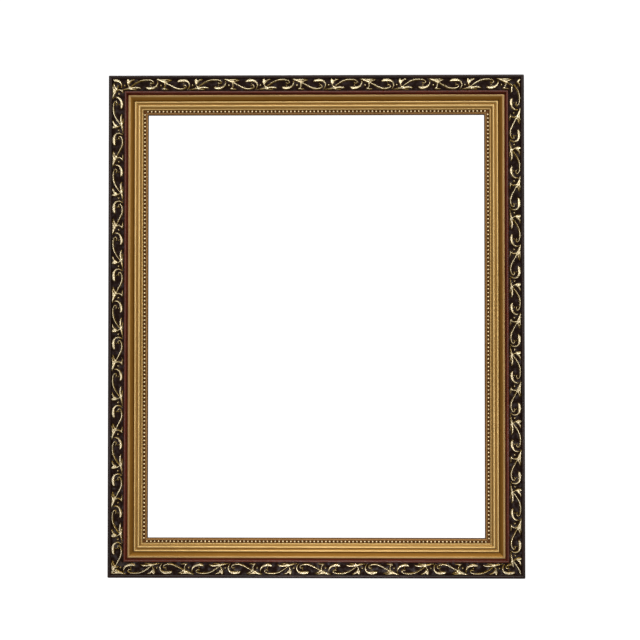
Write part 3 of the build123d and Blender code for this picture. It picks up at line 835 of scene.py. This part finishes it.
def scroll_mesh(side):
    half = rail_length(side) / 2
    columns = int((2 * half - band_start - band_end) / grid_step)
    inset = np.linspace(band_start, band_end, across_steps + 1)[None, :]
    share = np.linspace(-1, 1, columns + 1)[:, None]
    along = share * (half - inset)
    across = np.broadcast_to(inset - lip, along.shape).copy()
    relief = np.zeros(along.shape)
    period = 2 * cluster_pitch
    turns = int(half / period) + 2
    for turn in range(-turns, turns + 1):
        root = scroll_starts[side] + turn * period
        relief = carve_cluster(relief, along - root, across, outer_strokes, outer_dots)
        relief = carve_cluster(relief, along - root - cluster_pitch, across, inner_strokes, inner_dots)
    relief = np.minimum(relief, relief_height)
    edge = np.clip(np.minimum(inset - band_start, band_end - inset) / edge_run, 0, 1)
    top = stick_to_world(side, along, np.broadcast_to(inset, along.shape), ground_level + relief * edge)
    rows, width = along.shape
    index = np.arange(rows * width).reshape(rows, width)
    grid = np.stack([index[:-1, :-1], index[1:, :-1], index[1:, 1:], index[:-1, 1:]], axis=-1).reshape(-1, 4)
    floor_points = [
        stick_to_world(side, along[:, k], np.full(rows, inset[0, k]), np.full(rows, strip_floor)) for k in (0, -1)
    ]
    low = np.arange(rows * width, rows * width + 2 * rows).reshape(2, rows)
    faces = grid.tolist()
    for j in range(rows - 1):
        faces.append((index[j, 0], low[0, j], low[0, j + 1], index[j + 1, 0]))
        faces.append((index[j, -1], index[j + 1, -1], low[1, j + 1], low[1, j]))
        faces.append((low[0, j], low[1, j], low[1, j + 1], low[0, j + 1]))
    faces.append((*index[0].tolist(), low[1, 0], low[0, 0]))
    faces.append((*index[-1][::-1].tolist(), low[0, -1], low[1, -1]))
    mesh = bpy.data.meshes.new(f"{side} scrolls")
    mesh.from_pydata(np.concatenate([top.reshape(-1, 3), *floor_points]).tolist(), [], faces)
    carved_height = np.concatenate([(relief * edge).ravel() / relief_height, np.zeros(2 * rows)])
    mesh.attributes.new("carved", "FLOAT", "POINT").data.foreach_set("value", carved_height)
    # The steepness stored here drives the painted shade on the flanks and the painted highlight on the tops.
    rise_along, rise_across = np.gradient(relief)
    steep = np.hypot(rise_along / grid_step, rise_across / (inset[0, 1] - inset[0, 0]))
    steepness = np.concatenate([np.clip(steep, 0, steepest).ravel(), np.zeros(2 * rows)])
    mesh.attributes.new("steep", "FLOAT", "POINT").data.foreach_set("value", steepness)
    return mesh


for side in flows:
    mesh = turned_out(scroll_mesh(side))
    mesh.shade_smooth()
    mesh.set_sharp_from_angle(angle=scroll_crease)
    mesh.materials.append(scroll_finish)
    mark_stick(mesh, side)
    scrolls = show(f"{side}_scrolls", mesh)
    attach(scrolls, "frame")
    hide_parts(f"{side}_scroll_strip")
    print(scrolls.name, len(mesh.polygons), "faces")

# %% [markdown]
# ## Pearl beading
# The imported pearls already have the right oval shape, so they stay and only get their finish. The gold on the tops
# is wiped gilding and a painted highlight together, and the brown in the gaps is the brown ground with painted shade.
# The height above the channel floor tells the two apart.

# %% Gilded pearls
brown_and_shade_up_to, gold_and_highlight_from = 14.85, 15.3
pearl_finish, tree, shader = start_finish("gilded pearls", Roughness=0.32, Metallic=0.8, Specular_IOR_Level=0.3)
where = tree.nodes.new("ShaderNodeSeparateXYZ")
tree.links.new(tree.nodes.new("ShaderNodeTexCoord").outputs["Object"], where.inputs[0])
raised = add_math(tree, "MULTIPLY", where.outputs["Y"], -1 / MM)
grains = place_group(tree, flakes, Cloud_size=400.0)
uneven = add_math(tree, "MULTIPLY", add_math(tree, "SUBTRACT", grains.outputs["Cloud"], 0.5), 0.6)
# Gold on the tops is wiped gilding with a painted highlight; brown below is the ground with painted shade.
gold_and_painted_highlight = add_step(tree, add_math(tree, "ADD", raised, uneven), brown_and_shade_up_to, gold_and_highlight_from)
pearl_gold = add_blend(tree, grains.outputs["Glint"], shade(232, 200, 146), shade(255, 236, 190))
tree.links.new(add_blend(tree, gold_and_painted_highlight, shade(80, 50, 6), pearl_gold), shader.inputs["Base Color"])
for side in flows:
    nodes[f"{side}_pearl_strip"].data.materials[0] = pearl_finish
print("pearl strips finished:", len(flows))

# %% [markdown]
# ## Metal on the back
# The hangers, buttons, screws and corner wedges are plain hardware: brass plating, bright zinc, yellow zinc and bare
# steel. Plating is never one even grey. It has faint clouds, fine scratches from the tumbling drum, and a duller
# tone where it is thin on the edges.


# %% Plated metals
thin_plating = shade(120, 112, 100)


def mix_plating(name, base, tint, roughness):
    finish, tree, shader = start_finish(name, Base_Color=base, Roughness=roughness, Metallic=1.0)
    grains = place_group(tree, flakes, Flake_size=900.0, Cloud_size=260.0)
    clouded = add_blend(tree, add_step(tree, grains.outputs["Cloud"], 0.35, 0.7), base, tint)
    edges = place_group(tree, wear, Amount=0.4, Patch_size=500.0).outputs[0]
    tree.links.new(add_blend(tree, edges, clouded, thin_plating), shader.inputs["Base Color"])
    rough = add_math(tree, "MULTIPLY_ADD", grains.outputs["Glint"], 0.12, roughness)
    tree.links.new(rough, shader.inputs["Roughness"])
    return finish


brass_plate = mix_plating("bright brass plate", shade(222, 186, 112), shade(196, 154, 84), roughness=0.22)
bright_zinc = mix_plating("bright zinc", shade(196, 200, 204), shade(168, 174, 182), roughness=0.3)
yellow_zinc = mix_plating("yellow zinc", shade(206, 188, 130), shade(186, 164, 140), roughness=0.28)
nail_steel = mix_plating("wedge steel", shade(120, 122, 126), shade(96, 96, 98), roughness=0.42)
hardware = {
    brass_plate: ["left_hanger_strap", "right_hanger_strap", "left_d_ring", "right_d_ring"],
    bright_zinc: [name for name in nodes if name.endswith("_turn_button")],
    yellow_zinc: ["hanger_screws", "button_screws"],
    nail_steel: [name for name in nodes if name.endswith("_v_nails")],
}
for finish, names in hardware.items():
    for name in names:
        nodes[name].data.materials[0] = finish
print("hardware finished:", sum(map(len, hardware.values())), "pieces")

# %% [markdown]
# ## Floor and light
# The frame stands upright on a plain white floor that sweeps up behind it. A wide soft light hangs above the camera,
# one stands to its right and a weaker one to its left. A small one over the frame and a low one with a narrow beam
# pick out the lower rail. The room is dim, so that the polished members show bright lines on dark gold instead of an
# even glare. One more light behind shows the bare wood and the hardware to whoever walks round it.

# %% Floor that sweeps up into a backdrop
floor_level = -overall_height / 2 * MM
floor_profile = [(-4.0, 0.0), (1.2, 0.0), (1.5, 0.05), (1.7, 0.2), (1.8, 0.45), (1.8, 3.5)]
floor_half_width = 4.0
paper_glow, glow_share = 1.25, 0.8
mesh = bpy.data.meshes.new("floor")
floor_points = [(x, y, floor_level + z) for y, z in floor_profile for x in (-floor_half_width, floor_half_width)]
mesh.from_pydata(floor_points, [], [(2 * i, 2 * i + 1, 2 * i + 3, 2 * i + 2) for i in range(len(floor_profile) - 1)])
floor = show("floor", mesh)
floor_paper, tree, shader = start_finish("white paper", Base_Color=(0.6, 0.6, 0.6, 1.0), Roughness=0.9)
glow = values(tree.nodes.new("ShaderNodeEmission"), Strength=paper_glow)
blown_out = tree.nodes.new("ShaderNodeMixShader")
seen = add_math(tree, "MULTIPLY", tree.nodes.new("ShaderNodeLightPath").outputs["Is Camera Ray"], glow_share)
for socket, source in zip(blown_out.inputs, (seen, shader.outputs[0], glow.outputs[0])):
    tree.links.new(source, socket)
tree.links.new(blown_out.outputs[0], tree.nodes["Material Output"].inputs["Surface"])
mesh.materials.append(floor_paper)
print("floor at", floor_level)

# %% Lights
room_strength = 0.3
studio = bpy.data.worlds.new("pale room")
studio.use_nodes = True
tree = studio.node_tree
room = values(tree.nodes["Background"], Color=(1.0, 0.96, 0.96, 1.0), Strength=room_strength)
paper = values(tree.nodes.new("ShaderNodeBackground"), Color=(1.0, 1.0, 1.0, 1.0), Strength=1.0)
chosen = tree.nodes.new("ShaderNodeMixShader")
seen = tree.nodes.new("ShaderNodeLightPath").outputs["Is Camera Ray"]
for socket, source in zip(chosen.inputs, (seen, room.outputs[0], paper.outputs[0])):
    tree.links.new(source, socket)
tree.links.new(chosen.outputs[0], tree.nodes["World Output"].inputs["Surface"])
bpy.context.scene.world = studio
bpy.context.scene.view_settings.view_transform = "Standard"


def hang_light(name, place, target, size, power, tint, spread=math.pi):
    lamp = bpy.data.lights.new(name, "AREA")
    lamp.shape = "RECTANGLE"
    lamp.size, lamp.size_y = size
    lamp.energy = power
    lamp.color = tint
    lamp.spread = spread
    light = show(name, lamp)
    light.location = place
    light.rotation_euler = (Vector(target) - Vector(place)).to_track_quat("-Z", "Y").to_euler()
    return light


middle, lower_rail = (0, 0, 0), (0.02, 0, -0.28)
warm_white = (1.0, 0.98, 0.95)
hang_light("top_light", (0.15, -1.7, 1.5), middle, size=(1.6, 0.6), power=17.0, tint=warm_white)
hang_light("right_light", (1.45, -1.9, 0.55), middle, size=(0.7, 1.4), power=15.0, tint=warm_white)
hang_light("overhead_light", (0.1, -0.55, 1.7), middle, size=(1.4, 0.5), power=5.5, tint=warm_white)
hang_light("left_light", (-1.4, -2.0, 0.45), middle, size=(0.7, 1.4), power=11.5, tint=(1.0, 0.98, 0.97))
hang_light(
    "low_light", (0.02, -1.2, -0.22), lower_rail, size=(0.3, 0.12), power=0.09, tint=(1.0, 0.95, 1.0), spread=0.55
)
hang_light("back_light", (-0.6, 1.1, 1.3), middle, size=(1.2, 0.8), power=18.0, tint=warm_white)
print("lights hung")

# %% [markdown]
# ## Camera
# The photograph was taken from straight in front, a touch low and a touch to the right, with the frame filling most
# of the picture's height.

# %% Camera
camera_distance, camera_lens = 1.6, 76.99
camera_azimuth, camera_elevation = math.radians(0.779), math.radians(-1.086)
camera_target = Vector((0.0043, 0.0, 0.0071))
reach = Vector((
    math.sin(camera_azimuth) * math.cos(camera_elevation),
    -math.cos(camera_azimuth) * math.cos(camera_elevation),
    math.sin(camera_elevation),
))
eye = bpy.data.cameras.new("camera")
eye.lens = camera_lens
camera = show("camera", eye)
camera.location = camera_target + reach * camera_distance
camera.rotation_euler = (-reach).to_track_quat("-Z", "Y").to_euler()
bpy.context.scene.camera = camera
print("camera at", [round(v, 3) for v in camera.location])
